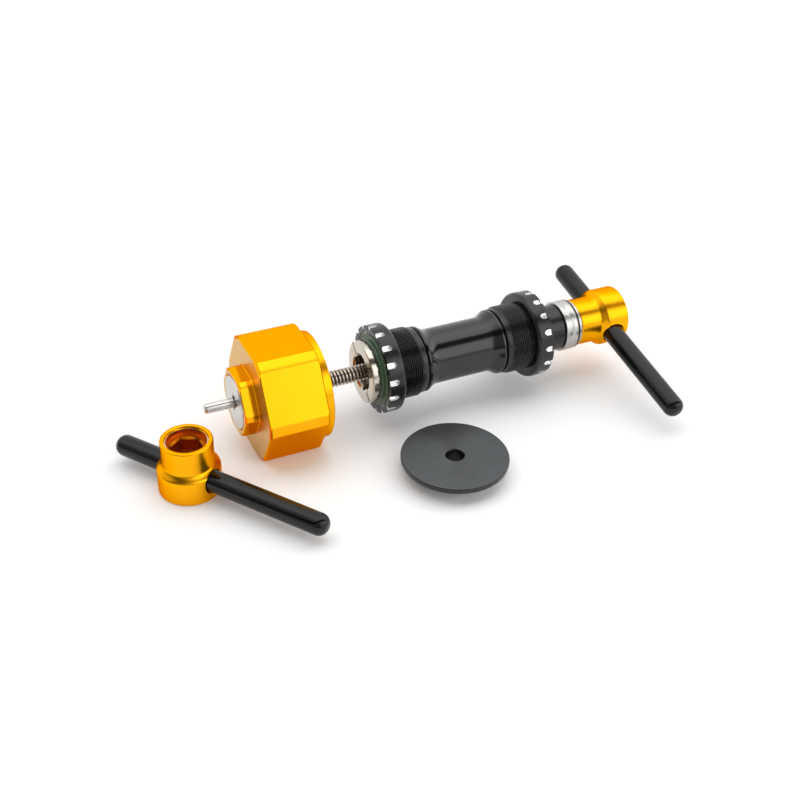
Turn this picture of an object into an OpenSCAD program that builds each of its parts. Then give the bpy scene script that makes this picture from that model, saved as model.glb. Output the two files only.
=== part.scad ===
// Threaded bottom bracket strung on its bearing press tool, with the tool's spare handle and guide disc.
// The tool's screw runs along +X. The set stands on z = 0, and the origin is under the receiver's middle.

/* [Bottom bracket] */
// Width of the frame shell between the two cup flanges
shell_w = 73; // [68:0.5:73]
// Diameter of the notched ring of a cup
ring_d = 44; // [43:0.5:46]
// Width of the notched ring
ring_w = 8.8; // [8.8:0.1:11]
// Number of spanner notches in a ring
notch_n = 16; // [8:1:20]
// Width of one notch
notch_w = 2.8; // [2.4:0.1:5]
// Length of one notch along the axis
notch_len = 4.6; // [4:0.1:7]
// Major diameter of the cup thread
thread_d = 34.8; // [34:0.1:36]
// Length of the cup thread
thread_len = 14.4; // [10:0.2:16]
// Outer diameter of the centre sleeve at its waist
waist_d = 28; // [27:0.2:29]
// Distance from the receiver's middle to the shell's middle
bb_x = 94.1; // [94:0.1:95]
// Turn of the left cup's notches about its axis
left_cup_turn = 9.8; // [0:0.1:22.5]
// Turn of the right cup's notches about its axis
right_cup_turn = 14.6; // [0:0.1:22.5]

/* [Bearings] */
// Bore of the bearing, which is the spindle's diameter
bearing_bore = 24; // [24:1:24]
// Outer diameter of the bearing
bearing_d = 37; // [37:1:37]
// Width of the bearing
bearing_w = 7; // [7:0.1:7]
// Diameter of a bearing ball
ball_d = 3.5; // [3.2:0.1:3.5]
// Number of balls in a bearing
ball_n = 20; // [12:1:22]

/* [Receiver] */
// Distance across the flats of the hexagonal receiver
hex_af = 55; // [54:0.5:58]
// Diameter that the receiver's corners are turned to
hex_corner_d = 60.6; // [58:0.2:63]
// Length of the hexagonal body
hex_len = 29.2; // [26:0.2:32]
// Outer diameter of the spigot at the mouth
spigot_d = 52; // [50:0.5:53]
// Length of the spigot
spigot_len = 4.1; // [3:0.1:6]
// Diameter of the cavity
cavity_d = 45.4; // [45:0.1:47]
// Distance across the flats of the small hexagonal boss
boss_af = 30; // [29:0.5:32]
// Diameter that the boss's corners are turned to
boss_corner_d = 33; // [32:0.2:34]
// Depth of the boss
boss_len = 7; // [6:0.2:9]

/* [Screw and collet] */
// Major diameter of the screw thread
screw_d = 8; // [8:0.1:8]
// Diameter of the pilot pin on the screw's end
pin_d = 4.8; // [4:0.1:5]
// Length of the pilot pin that stands out of the boss
pin_out = 14.7; // [10:0.1:16]
// Diameter of the collet's flange
collet_flange_d = 31; // [30:0.2:32]
// Width of the slots between the collet's halves
collet_slot = 1.7; // [1.5:0.1:2.4]
// Angle of the collet's slots from upright, towards +Y
collet_turn = 43; // [0:1:90]
// Distance across the flats of the collet's hexagonal pocket
collet_pocket_af = 17; // [16.8:0.1:18]
// Distance across the flats of the nut inside the pocket
collet_nut_af = 15.4; // [15:0.1:15.4]

/* [Handles] */
// Length of a handle hub
hub_len = 27; // [26:0.5:30]
// Diameter of the hub's thick end
hub_big_d = 29.2; // [28:0.2:31]
// Diameter of the hub's mouth end
hub_small_d = 24; // [23.6:0.2:25]
// Distance from the hub's thick end to the middle of the bar
bar_from_end = 8.8; // [8:0.1:9.5]
// Diameter of the bar
bar_d = 10.4; // [10:0.1:10.4]
// Length of the bar
bar_len = 115.6; // [100:0.2:130]
// Distance from the bar's middle to the hub's axis
bar_shift = 16.8; // [0:0.2:30]
// Angle by which the mounted bar's short end points above the horizontal
bar_tilt = 11.2; // [0:0.1:17]
// Distance from the receiver's middle to the mounted bar
mounted_bar_x = 180.7; // [180:0.1:182]

/* [Loose pieces] */
// Place of the spare handle along X
spare_x = -50.1; // [-60:0.1:-48]
// Place of the spare handle along Y
spare_y = -18; // [-30:0.1:-16]
// Direction of the spare bar's long end, from +X
spare_turn = -54.6; // [-60:0.1:-40]
// Place of the guide disc along X
disc_x = 66.8; // [60:0.1:90]
// Place of the guide disc along Y
disc_y = -55.5; // [-60:0.1:-52]
// Diameter of the guide disc
disc_d = 51.2; // [48:0.2:54]
// Thickness of the guide disc
disc_t = 2.6; // [2:0.1:4]
// Diameter of the guide disc's hole
disc_hole_d = 8.7; // [8.2:0.1:10]
// Length of the guide disc's spigot, which fits a bearing's bore
disc_spigot_len = 6.4; // [4:0.1:9]

/* [Hidden] */
$fn = 96;
slip = 0.1;
fit = 0.05;
cut = 0.5;
axis_z = hex_af / 2;
hex_x0 = -hex_len / 2;
hex_x1 = hex_len / 2;
boss_x0 = hex_x0 - boss_len;
mouth_x = hex_x1 + spigot_len;
left_seat_x = bb_x - shell_w / 2;
right_seat_x = bb_x + shell_w / 2;
ring_out_left_x = left_seat_x - ring_w;

// Cup, measured outward from its seat on the shell
cover_recess = 0.8;
bearing_z0 = ring_w - cover_recess - bearing_w;
bearing_z1 = bearing_z0 + bearing_w;
cup_bore_r = 15;
groove_w = 0.8;
thread_root_r = thread_d / 2 - 0.9;
notch_depth = 1.5;

// Bearing
pitch_r = (bearing_bore + bearing_d) / 4;
inner_shoulder_r = pitch_r - 1.05;
outer_shoulder_r = pitch_r + 1.05;
ball_gap = 0.03;
cage_r0 = pitch_r - 0.6;
cage_r1 = pitch_r + 0.6;
cage_w = 4.6;
cage_gap = 0.12;
seal_t = 0.6;

// Sleeve
sleeve_wall = 1.3;
spigot_in = 7;
lip_w = 2.4;
lip_r = 16.6;
collar_w = 1.2;
collar_r = 16.5;
flare_len = 6;
spigot_r = cup_bore_r - slip;
o_ring_r = 0.8;
o_ring_from_end = 3;
sleeve_end_left = left_seat_x + thread_len + groove_w;
sleeve_end_right = right_seat_x - thread_len - groove_w;

// Dust cover
cover_flange_t = 0.9;
cover_flange_r = 18.2;
cover_hub_r = 14.4;
cover_hub_r_end = 13.3;
cover_hub_len = 1.8;

// Collet
collet_flange_t = 3.8;
collet_gap = 0.3;
collet_shank_r = bearing_bore / 2 - 0.1;
collet_x1 = ring_out_left_x - cover_hub_len - collet_gap;
collet_x0 = collet_x1 - collet_flange_t;
collet_shank_end_x = left_seat_x - 0.4;
collet_pocket_depth = 10;
collet_nut_len = 4.8;
collet_hole_r = screw_d / 2 + 1.2;

// Receiver
cavity_floor_x = -6;
cap_d = 26;
cap_t = 3;
cap_proud = 0.3;
cap_snap_t = 0.9;
cap_snap_r = cap_d / 2 + 0.8;
bush_outer_r = 9;
bush_len = 9;
key_w = 2;
key_len = 8.4;

// Screw
pin_tip_x = boss_x0 - pin_out;
pin_root_x = boss_x0 + cap_t + 0.2;
pin_neck_x = boss_x0 - cap_proud - 0.1;
pin_neck_r = pin_d / 2 - 0.3;
hub_mouth_x = mounted_bar_x + bar_from_end - hub_len;
pocket_af = 14;
pocket_floor = bar_from_end + bar_d / 2 + 1.2;
counterbore_depth = 4.6;
counterbore_r = 9.85;
drive_hex_len = 6.4;
drive_hex_x1 = hub_mouth_x + hub_len - pocket_floor - 0.4;
drive_hex_x0 = drive_hex_x1 - drive_hex_len;

// Handle
cone_z0 = 12.4;
cone_z1 = 14.8;
snap_z = hub_len - 1.9;
snap_t = 0.8;
snap_r0 = counterbore_r - 0.5;
snap_r1 = counterbore_r + 0.7;
grip_ring_r = 0.8;
dome = 4.6;
tip_r = 1;

// Thrust bearing and right guide
guide_in_x = right_seat_x - 2;
guide_out_x = 152.5;
guide_r = bearing_bore / 2 - fit;
thrust_x0 = guide_out_x + 0.2;
thrust_len = 7;
thrust_x1 = thrust_x0 + thrust_len;
thrust_d = 26;
thrust_wall = 1.3;
thrust_floor = 2;
thrust_ball_r = 1.4;
thrust_ball_n = 14;
thrust_pitch_r = 8.6;
washer_t = 1.4;
washer_x0 = thrust_x0 + thrust_floor + 2 * thrust_ball_r + 0.06;
washer_r = thrust_d / 2 - thrust_wall - 0.3;
neck_r = 7;
neck_x0 = washer_x0 - 0.5;
flange_x0 = thrust_x1 + 1;
flange_x1 = hub_mouth_x - slip;
collar_x0 = hub_mouth_x + hub_len - snap_z + 0.1;
collar_x1 = hub_mouth_x + counterbore_depth - 0.1;

// Places its children on the screw's axis, with their own Z along +X
module on_axis(x = 0) {
    translate([x, 0, axis_z]) rotate([0, 90, 0]) children();
}

// Places a part that is made along +Z with its zero on a cup's seat
module at_left_cup() {
    on_axis(left_seat_x) mirror([0, 0, 1]) rotate([0, 0, left_cup_turn]) children();
}

module at_right_cup() {
    on_axis(right_seat_x) rotate([0, 0, right_cup_turn]) children();
}

module tube(r0, r1, z0, z1) {
    translate([0, 0, z0]) difference() {
        cylinder(r = r1, h = z1 - z0);
        translate([0, 0, -cut]) cylinder(r = r0, h = z1 - z0 + 2 * cut);
    }
}

// A ring of round wire
module wire_ring(ring_r, wire_r, z) {
    translate([0, 0, z]) rotate_extrude() translate([ring_r, 0]) circle(r = wire_r, $fn = 24);
}

// A hexagonal prism with one pair of flats level once it is on the axis
module hex_prism(af, z0, z1) {
    translate([0, 0, z0]) rotate([0, 0, 30]) cylinder(d = af / cos(30), h = z1 - z0, $fn = 6);
}

// A turned bar with both its edges chamfered
module turned(r, z0, z1, chamfer) {
    rotate_extrude() polygon([
        [0, z0], [r - chamfer, z0], [r, z0 + chamfer],
        [r, z1 - chamfer], [r - chamfer, z1], [0, z1]
    ]);
}

// ---- Bottom bracket ----

module cup() {
    r = ring_d / 2;
    difference() {
        rotate_extrude() polygon([
            [cup_bore_r, -thread_len], [lip_r - 0.4, -thread_len], [lip_r, -thread_len + 0.4],
            [lip_r, -thread_len + lip_w], [thread_d / 2, -thread_len + lip_w + 0.8],
            [thread_d / 2, -1], [thread_root_r, -0.8], [thread_root_r, 0],
            [r - 1.8, 0], [r - 0.6, 0.7], [r, 1.9], [r, ring_w - 0.4], [r - 0.4, ring_w],
            [bearing_d / 2 + 0.3, ring_w], [bearing_d / 2, ring_w - 0.3],
            [bearing_d / 2, bearing_z0], [cup_bore_r, bearing_z0]
        ]);
        for (i = [0:notch_n - 1]) rotate([0, 0, i * 360 / notch_n]) {
            translate([r - notch_depth, -notch_w / 2, ring_w - notch_len])
                cube([notch_depth + 1, notch_w, notch_len + 1]);
        }
    }
}

module inner_race() {
    difference() {
        tube(bearing_bore / 2, inner_shoulder_r, bearing_z0, bearing_z1);
        ball_groove();
    }
}

module outer_race() {
    difference() {
        tube(outer_shoulder_r, bearing_d / 2, bearing_z0, bearing_z1);
        ball_groove();
    }
}

module ball_groove() {
    wire_ring(pitch_r, ball_d / 2 + ball_gap, (bearing_z0 + bearing_z1) / 2);
}

module bearing_balls() {
    for (i = [0:ball_n - 1]) rotate([0, 0, i * 360 / ball_n]) {
        translate([pitch_r, 0, (bearing_z0 + bearing_z1) / 2]) sphere(r = ball_d / 2, $fn = 32);
    }
}

module ball_cage() {
    mid = (bearing_z0 + bearing_z1) / 2;
    difference() {
        tube(cage_r0, cage_r1, mid - cage_w / 2, mid + cage_w / 2);
        for (i = [0:ball_n - 1]) rotate([0, 0, i * 360 / ball_n]) {
            translate([cage_r0 - 1, 0, mid]) rotate([0, 90, 0]) {
                cylinder(r = ball_d / 2 + cage_gap, h = cage_r1 - cage_r0 + 2, $fn = 32);
            }
        }
    }
}

module bearing_seals() {
    for (z = [bearing_z0 + 0.1, bearing_z1 - 0.1 - seal_t]) {
        tube(inner_shoulder_r + 0.05, outer_shoulder_r, z, z + seal_t);
    }
}

module dust_cover() {
    z0 = bearing_z1;
    z1 = ring_w + cover_hub_len;
    rotate_extrude() polygon([
        [bearing_bore / 2, z0], [inner_shoulder_r, z0], [inner_shoulder_r, z0 + 0.2],
        [cover_flange_r, z0 + 0.2], [cover_flange_r, z0 + cover_flange_t - 0.3],
        [cover_flange_r - 0.3, z0 + cover_flange_t], [cover_hub_r, z0 + cover_flange_t],
        [cover_hub_r, z1 - 1.2], [cover_hub_r_end, z1], [bearing_bore / 2, z1]
    ]);
}

module center_sleeve() color("#141414") on_axis() {
    r_in = waist_d / 2 - sleeve_wall;
    a = sleeve_end_left;
    b = sleeve_end_right;
    w = waist_d / 2;
    groove_r = spigot_r - 2 * o_ring_r;
    za = a - o_ring_from_end;
    zb = b + o_ring_from_end;
    rotate_extrude() polygon([
        [r_in, a - spigot_in], [spigot_r, a - spigot_in],
        [spigot_r, za - o_ring_r], [groove_r, za - o_ring_r], [groove_r, za + o_ring_r], [spigot_r, za + o_ring_r],
        [spigot_r, a], [collar_r, a], [collar_r, a + collar_w],
        [w + 1.4, a + collar_w + 0.3 * flare_len], [w + 0.4, a + collar_w + 0.65 * flare_len],
        [w, a + collar_w + flare_len], [w, b - collar_w - flare_len],
        [w + 0.4, b - collar_w - 0.65 * flare_len], [w + 1.4, b - collar_w - 0.3 * flare_len],
        [collar_r, b - collar_w], [collar_r, b], [spigot_r, b],
        [spigot_r, zb - o_ring_r], [groove_r, zb - o_ring_r], [groove_r, zb + o_ring_r], [spigot_r, zb + o_ring_r],
        [spigot_r, b + spigot_in], [r_in, b + spigot_in]
    ]);
}

module sleeve_o_rings() color("#202020") on_axis() {
    for (x = [sleeve_end_left - o_ring_from_end, sleeve_end_right + o_ring_from_end]) {
        wire_ring(spigot_r - o_ring_r + fit, o_ring_r, x);
    }
}

module right_cup() color("#1b1b1c") at_right_cup() cup();
module left_cup() color("#1b1b1c") at_left_cup() cup();
module right_outer_race() color("silver") at_right_cup() outer_race();
module left_outer_race() color("silver") at_left_cup() outer_race();
module right_inner_race() color("silver") at_right_cup() inner_race();
module left_inner_race() color("silver") at_left_cup() inner_race();
module right_bearing_balls() color("white") at_right_cup() bearing_balls();
module left_bearing_balls() color("white") at_left_cup() bearing_balls();
module right_ball_cage() color("tan") at_right_cup() ball_cage();
module left_ball_cage() color("tan") at_left_cup() ball_cage();
module right_bearing_seals() color("#30302f") at_right_cup() bearing_seals();
module left_bearing_seals() color("#30302f") at_left_cup() bearing_seals();
module right_dust_cover() color("#2f5a3a") at_right_cup() dust_cover();
module left_dust_cover() color("#2f5a3a") at_left_cup() dust_cover();

// ---- Receiver ----

module receiver_body() color("#f0a000") on_axis() difference() {
    union() {
        intersection() {
            hex_prism(hex_af, hex_x0, hex_x1);
            translate([0, 0, hex_x0]) cylinder(d = hex_corner_d, h = hex_len);
        }
        intersection() {
            hex_prism(boss_af, boss_x0, hex_x0 + 1);
            translate([0, 0, boss_x0]) cylinder(d = boss_corner_d, h = boss_len + 2);
        }
        tube(cavity_d / 2, spigot_d / 2, hex_x1 - 1, mouth_x);
    }
    translate([0, 0, cavity_floor_x]) cylinder(d = cavity_d, h = mouth_x - cavity_floor_x + cut);
    translate([0, 0, boss_x0 - cut]) cylinder(d = cap_d, h = cap_t + cut);
    translate([0, 0, boss_x0 + 1.1]) cylinder(r = cap_snap_r, h = cap_snap_t);
    translate([0, 0, boss_x0]) cylinder(r = bush_outer_r, h = cap_t + bush_len);
    translate([0, 0, boss_x0]) cylinder(r = screw_d / 2 + 1, h = cavity_floor_x - boss_x0 + cut);
}

module receiver_cap() color("#d8d8d6") on_axis() difference() {
    union() {
        turned(cap_d / 2 - fit, boss_x0 - cap_proud, boss_x0 + 1.1, 0.2);
        translate([0, 0, boss_x0 + 1]) cylinder(r = cap_d / 2 - 1, h = cap_snap_t + 0.2);
        translate([0, 0, boss_x0 + 1.1 + cap_snap_t]) cylinder(r = cap_d / 2 - fit, h = cap_t - 1.1 - cap_snap_t);
    }
    translate([0, 0, boss_x0 - 2]) cylinder(r = pin_d / 2 + 0.3, h = cap_t + 4);
    translate([-key_len / 2, -key_w / 2, boss_x0 - 2]) cube([key_len, key_w, cap_t + 4]);
}

module receiver_snap_ring() color("#3a3a3a") on_axis() {
    tube(cap_d / 2 - 1, cap_snap_r, boss_x0 + 1.1, boss_x0 + 1.1 + cap_snap_t);
}

module receiver_bush() color("#b08d4a") on_axis() {
    tube(screw_d / 2 + fit, bush_outer_r, boss_x0 + cap_t, boss_x0 + cap_t + bush_len);
}

// ---- Screw, collet and thrust bearing ----

module draw_screw() color("#9a9288") on_axis() rotate_extrude() polygon([
    [0, pin_tip_x], [pin_d / 2 - 0.8, pin_tip_x], [pin_d / 2 - 0.2, pin_tip_x + 0.5], [pin_d / 2, pin_tip_x + 1.2],
    [pin_d / 2, pin_neck_x], [pin_neck_r, pin_neck_x],
    [pin_neck_r, pin_root_x], [screw_d / 2 - 0.8, pin_root_x], [screw_d / 2, pin_root_x + 0.8],
    [screw_d / 2, drive_hex_x0], [0, drive_hex_x0]
]);

module drive_hex() color("#8d8d90") mounted() intersection() {
    z0 = pocket_floor + 0.4;
    hex_prism(pocket_af - slip, z0, z0 + drive_hex_len);
    turned(pocket_af / 2 + 0.8, z0, z0 + drive_hex_len, 0.7);
}

module collet() {
    on_axis() rotate([0, 0, 180 - collet_turn]) difference() {
        rotate_extrude() polygon([
            [0, collet_x0], [collet_flange_d / 2 - 0.7, collet_x0], [collet_flange_d / 2, collet_x0 + 0.7],
            [collet_flange_d / 2, collet_x1 - 0.5], [collet_flange_d / 2 - 0.5, collet_x1],
            [collet_shank_r, collet_x1], [collet_shank_r, collet_shank_end_x - 1],
            [collet_shank_r - 0.8, collet_shank_end_x], [0, collet_shank_end_x]
        ]);
        hex_prism(collet_pocket_af, collet_x0 - cut, collet_x0 + collet_pocket_depth);
        translate([0, 0, collet_x0]) cylinder(r = collet_hole_r, h = collet_shank_end_x - collet_x0 + 1);
        translate([-30, -collet_slot / 2, collet_x0 - 1]) cube([60, collet_slot, 30]);
        children();
    }
}

module collet_upper() color("#cfc8bd") collet() translate([-30, -30, collet_x0 - 1]) cube([60, 30, 30]);
module collet_lower() color("#cfc8bd") collet() translate([-30, 0, collet_x0 - 1]) cube([60, 30, 30]);

// The screw runs through this nut, which the collet's pocket keeps from turning
module collet_nut() color("#57534c") on_axis() rotate([0, 0, 180 - collet_turn]) difference() {
    z1 = collet_x0 + collet_pocket_depth - 0.2;
    intersection() {
        hex_prism(collet_nut_af, z1 - collet_nut_len, z1);
        turned(collet_nut_af / 2 + 0.9, z1 - collet_nut_len, z1, 0.6);
    }
    translate([0, 0, z1 - collet_nut_len - 1]) cylinder(r = screw_d / 2 + fit, h = collet_nut_len + 2);
}

module right_guide() color("#1a1a1a") on_axis() difference() {
    turned(guide_r, guide_in_x, guide_out_x, 0.6);
    translate([0, 0, guide_in_x - 1]) cylinder(r = screw_d / 2 + slip, h = guide_out_x - guide_in_x + 2);
}

module thrust_housing() color("#c9c9c9") on_axis() difference() {
    turned(thrust_d / 2, thrust_x0, thrust_x1, 0.4);
    translate([0, 0, thrust_x0 - 1]) cylinder(r = screw_d / 2 + slip, h = thrust_len + 2);
    translate([0, 0, thrust_x0 + thrust_floor])
        cylinder(r = thrust_d / 2 - thrust_wall, h = thrust_len);
}

module thrust_balls() color("white") on_axis(thrust_x0 + thrust_floor + thrust_ball_r + 0.03) {
    for (i = [0:thrust_ball_n - 1]) rotate([0, 0, i * 360 / thrust_ball_n]) {
        translate([thrust_pitch_r, 0, 0]) sphere(r = thrust_ball_r, $fn = 32);
    }
}

module thrust_cage() color("#b08d4a") on_axis(thrust_x0 + thrust_floor + thrust_ball_r + 0.03) difference() {
    tube(thrust_pitch_r - 2, thrust_pitch_r + 2, -0.5, 0.5);
    for (i = [0:thrust_ball_n - 1]) rotate([0, 0, i * 360 / thrust_ball_n]) {
        translate([thrust_pitch_r, 0, -1]) cylinder(r = thrust_ball_r + cage_gap, h = 2, $fn = 32);
    }
}

module thrust_washer() color("#d0d0d0") on_axis() {
    tube(neck_r, washer_r, washer_x0, washer_x0 + washer_t);
}

// Carries the washer, and its collar is held in the handle's counterbore by the snap ring
module thrust_bush() color("#b9b9b9") on_axis() difference() {
    union() {
        translate([0, 0, neck_x0]) cylinder(r = neck_r, h = flange_x0 - neck_x0);
        translate([0, 0, flange_x0]) cylinder(r = hub_small_d / 2 - slip, h = flange_x1 - flange_x0);
        translate([0, 0, washer_x0 + washer_t]) cylinder(r = snap_r0 - 0.1, h = collar_x1 - washer_x0 - washer_t);
        translate([0, 0, collar_x0]) cylinder(r = counterbore_r - fit, h = collar_x1 - collar_x0);
    }
    translate([0, 0, thrust_x0]) cylinder(r = screw_d / 2 + fit, h = collar_x1);
}

module thrust_seal() color("#202020") on_axis() {
    tube(snap_r0 - 0.1, thrust_d / 2 - 0.2, thrust_x1 + slip, flange_x0);
}

// ---- Handles ----

module hub() difference() {
    big = hub_big_d / 2;
    small = hub_small_d / 2;
    rotate_extrude() polygon([
        [0, 0], [big - 0.9, 0], [big, 0.9], [big, cone_z0], [small + 1, cone_z1 - 0.9], [small, cone_z1],
        [small, hub_len - 0.7], [small - 0.7, hub_len], [0, hub_len]
    ]);
    translate([0, 0, hub_len - counterbore_depth]) cylinder(r = counterbore_r, h = counterbore_depth + 1);
    translate([0, 0, snap_z]) cylinder(r = snap_r1, h = snap_t);
    hex_prism(pocket_af, pocket_floor, hub_len);
    translate([0, 0, bar_from_end]) rotate([0, 90, 0]) {
        cylinder(r = bar_d / 2 + fit, h = hub_big_d + 4, center = true);
        for (m = [0, 1]) mirror([0, 0, m]) translate([0, 0, big - 1.4]) {
            cylinder(r1 = bar_d / 2 + fit, r2 = bar_d / 2 + 1.6, h = 1.6);
        }
        wire_ring(bar_d / 2 + grip_ring_r, grip_ring_r, 4);
    }
}

module snap_ring() difference() {
    tube(snap_r0, snap_r1, snap_z, snap_z + snap_t);
    translate([0, -1.5, snap_z - 1]) cube([snap_r1 + 2, 3, snap_t + 2]);
}

module grip_ring() translate([0, 0, bar_from_end]) rotate([0, 90, 0]) {
    wire_ring(bar_d / 2 + grip_ring_r + fit / 2, grip_ring_r - fit / 2, 4);
}

// The long end of the bar points along +X of the hub
module bar() translate([bar_shift - bar_len / 2, 0, bar_from_end]) rotate([0, 90, 0]) {
    rotate_extrude() polygon(concat(
        [[0, 0]],
        [for (a = [-90:15:0]) [tip_r + (bar_d / 2 - tip_r) * cos(a), dome + dome * sin(a)]],
        [for (a = [0:15:90]) [tip_r + (bar_d / 2 - tip_r) * cos(a), bar_len - dome + dome * sin(a)]],
        [[0, bar_len]]
    ));
}

// Places a handle with its mouth towards the bottom bracket
module mounted() {
    translate([mounted_bar_x + bar_from_end, 0, axis_z]) rotate([bar_tilt, 0, 0]) {
        rotate([0, -90, 0]) rotate([0, 0, -90]) children();
    }
}

module spare() {
    translate([spare_x, spare_y, 0]) rotate([0, 0, spare_turn]) children();
}

module handle_hub() color("#f0a000") mounted() hub();
module handle_snap_ring() color("#4a4a4a") mounted() snap_ring();
module handle_grip_ring() color("#202020") mounted() grip_ring();
module handle_bar() color("#161616") mounted() bar();
module spare_hub() color("#f0a000") spare() hub();
module spare_snap_ring() color("#c0b49a") spare() snap_ring();
module spare_grip_ring() color("#202020") spare() grip_ring();
module spare_bar() color("#161616") spare() bar();

module guide_disc() color("#2c2f31") translate([disc_x, disc_y, 0]) difference() {
    union() {
        turned(disc_d / 2, disc_spigot_len, disc_spigot_len + disc_t, 0.4);
        turned(bearing_bore / 2 - fit, 0, disc_spigot_len + 1, 0.4);
    }
    translate([0, 0, -1]) cylinder(d = disc_hole_d, h = disc_spigot_len + disc_t + 2);
}

center_sleeve();
sleeve_o_rings();
right_cup();
left_cup();
right_outer_race();
left_outer_race();
right_inner_race();
left_inner_race();
right_bearing_balls();
left_bearing_balls();
right_ball_cage();
left_ball_cage();
right_bearing_seals();
left_bearing_seals();
right_dust_cover();
left_dust_cover();
receiver_body();
receiver_cap();
receiver_snap_ring();
receiver_bush();
draw_screw();
drive_hex();
collet_upper();
collet_lower();
collet_nut();
right_guide();
thrust_housing();
thrust_balls();
thrust_cage();
thrust_washer();
thrust_bush();
thrust_seal();
handle_hub();
handle_snap_ring();
handle_grip_ring();
handle_bar();
spare_hub();
spare_snap_ring();
spare_grip_ring();
spare_bar();
guide_disc();
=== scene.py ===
import math

import bmesh
import bpy
from mathutils import Matrix, Vector


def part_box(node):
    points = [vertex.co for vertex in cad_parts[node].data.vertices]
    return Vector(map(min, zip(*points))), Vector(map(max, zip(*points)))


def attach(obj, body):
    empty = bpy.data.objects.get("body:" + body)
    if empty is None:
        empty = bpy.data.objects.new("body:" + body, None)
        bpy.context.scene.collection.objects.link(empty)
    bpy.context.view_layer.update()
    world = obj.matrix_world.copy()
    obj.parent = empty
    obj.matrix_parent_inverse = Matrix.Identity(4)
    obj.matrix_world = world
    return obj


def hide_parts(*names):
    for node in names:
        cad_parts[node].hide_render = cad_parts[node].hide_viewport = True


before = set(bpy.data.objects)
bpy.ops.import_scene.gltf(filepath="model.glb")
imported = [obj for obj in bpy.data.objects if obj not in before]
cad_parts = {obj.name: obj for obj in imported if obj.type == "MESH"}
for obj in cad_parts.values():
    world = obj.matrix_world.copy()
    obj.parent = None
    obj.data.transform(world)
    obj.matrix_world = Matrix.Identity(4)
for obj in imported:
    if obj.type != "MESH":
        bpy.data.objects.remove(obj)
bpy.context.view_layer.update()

# Sizes below are in millimetres, along each piece's own axis; the meshes are made in metres.
MM = 0.001
ON_AXIS = 0.001
TURN = 2 * math.pi

# ---- Places and sizes taken from the frame ----


def span(node, axis):
    """Where a node starts and ends along an axis, in millimetres."""
    low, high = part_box(node)
    return low[axis] / MM, high[axis] / MM


def middle(node, axis):
    """The middle of a node along an axis, in millimetres."""
    low, high = span(node, axis)
    return (low + high) / 2


AXIS_Z = middle("draw_screw", 2)
LEFT_OUT, LEFT_END = span("left_cup", 0)
RIGHT_END = span("right_cup", 0)[0]
SPARE_X, SPARE_Y = middle("spare_hub", 0), middle("spare_hub", 1)
DISC_X, DISC_Y = middle("guide_disc", 0), middle("guide_disc", 1)
SCREW_START, SCREW_END = span("draw_screw", 0)
RECEIVER_START, RECEIVER_END = span("receiver_body", 0)
HUB_END = span("handle_hub", 0)[1]

# ---- Driving sizes that the frame doesn't name ----

# Cups: the notched ring, the barrel inside it with its thread and plain lip, and the bearing's seat.
RING_W = 8.8
RING_R = 22.0
NOTCHES = 16
NOTCH_HALF_W = 1.4
NOTCH_LEN = 4.6
NOTCH_DEPTH = 1.5
LEFT_NOTCH_TURN = -9.8
RIGHT_NOTCH_TURN = 14.6
CUP_BORE_R = 15.0
BARREL_R = 16.82
CUP_THREAD_R = 17.4
CUP_THREAD_PITCH = 1.058
CUP_THREAD_DEPTH = 0.62
CUP_THREAD_LEN = 14.4
LIP_W = 2.4
LIP_R = 16.6
BEARING_R = 18.5
BEARING_TOP = 8.0

# Screw, and the turn of the collet's slot.
SCREW_R = 4.0
SCREW_PITCH = 1.8
SCREW_DEPTH = 0.85
SCREW_BORE_R = 4.1
COLLET_TURN = 43.0

# Handles: a hub with a hexagonal pocket and a bar through it, and how each lies.
BAR_TILT = 11.2
SPARE_TURN = -54.6
BAR_FROM_END = 8.8
BAR_R = 5.2
BAR_HALF_LEN = 57.8
BAR_SHIFT = 16.8
HUB_LEN = 27.0
HUB_BIG_R = 14.6
HUB_SMALL_R = 12.0
POCKET_FLATS = 14.0
POCKET_FLOOR = 15.2

# Receiver: the big hexagon, its boss, the round spigot round the cavity's mouth, and the cap.
HEX_FLATS = 55.0
HEX_CORNER_R = 30.3
HEX_LEN = 29.2
BOSS_LEN = 7.0
BOSS_FLATS = 30.0
BOSS_CORNER_R = 16.5
CAVITY_R = 22.7
SPIGOT_R = 26.0
CAP_R = 13.0

# The guide in the right cup, and the guide disc's spigot.
GUIDE_R = 11.95


# ---- Mesh helpers ----


def arc(centre_z, centre_r, radius, start, end, steps=5):
    """Points (z, r) on an arc of a profile, with angles in degrees from +z towards +r."""
    angles = [math.radians(start + (end - start) * i / steps) for i in range(steps + 1)]
    return [(centre_z + radius * math.cos(a), centre_r + radius * math.sin(a)) for a in angles]


def new_object(name, bm, matrix, materials, sharp=32.0):
    """Turns a bmesh in millimetres into an object in the row frame, smooth except at its sharp edges."""
    bmesh.ops.remove_doubles(bm, verts=bm.verts, dist=1e-4)
    bmesh.ops.dissolve_degenerate(bm, edges=bm.edges, dist=1e-5)
    bmesh.ops.recalc_face_normals(bm, faces=bm.faces)
    mesh = bpy.data.meshes.new(name)
    bm.to_mesh(mesh)
    bm.free()
    mesh.transform(Matrix.Scale(MM, 4) @ matrix)
    for polygon in mesh.polygons:
        polygon.use_smooth = True
    mesh.set_sharp_from_angle(angle=math.radians(sharp))
    for material in materials:
        mesh.materials.append(material)
    obj = bpy.data.objects.new(name, mesh)
    bpy.context.scene.collection.objects.link(obj)
    return obj


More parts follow.
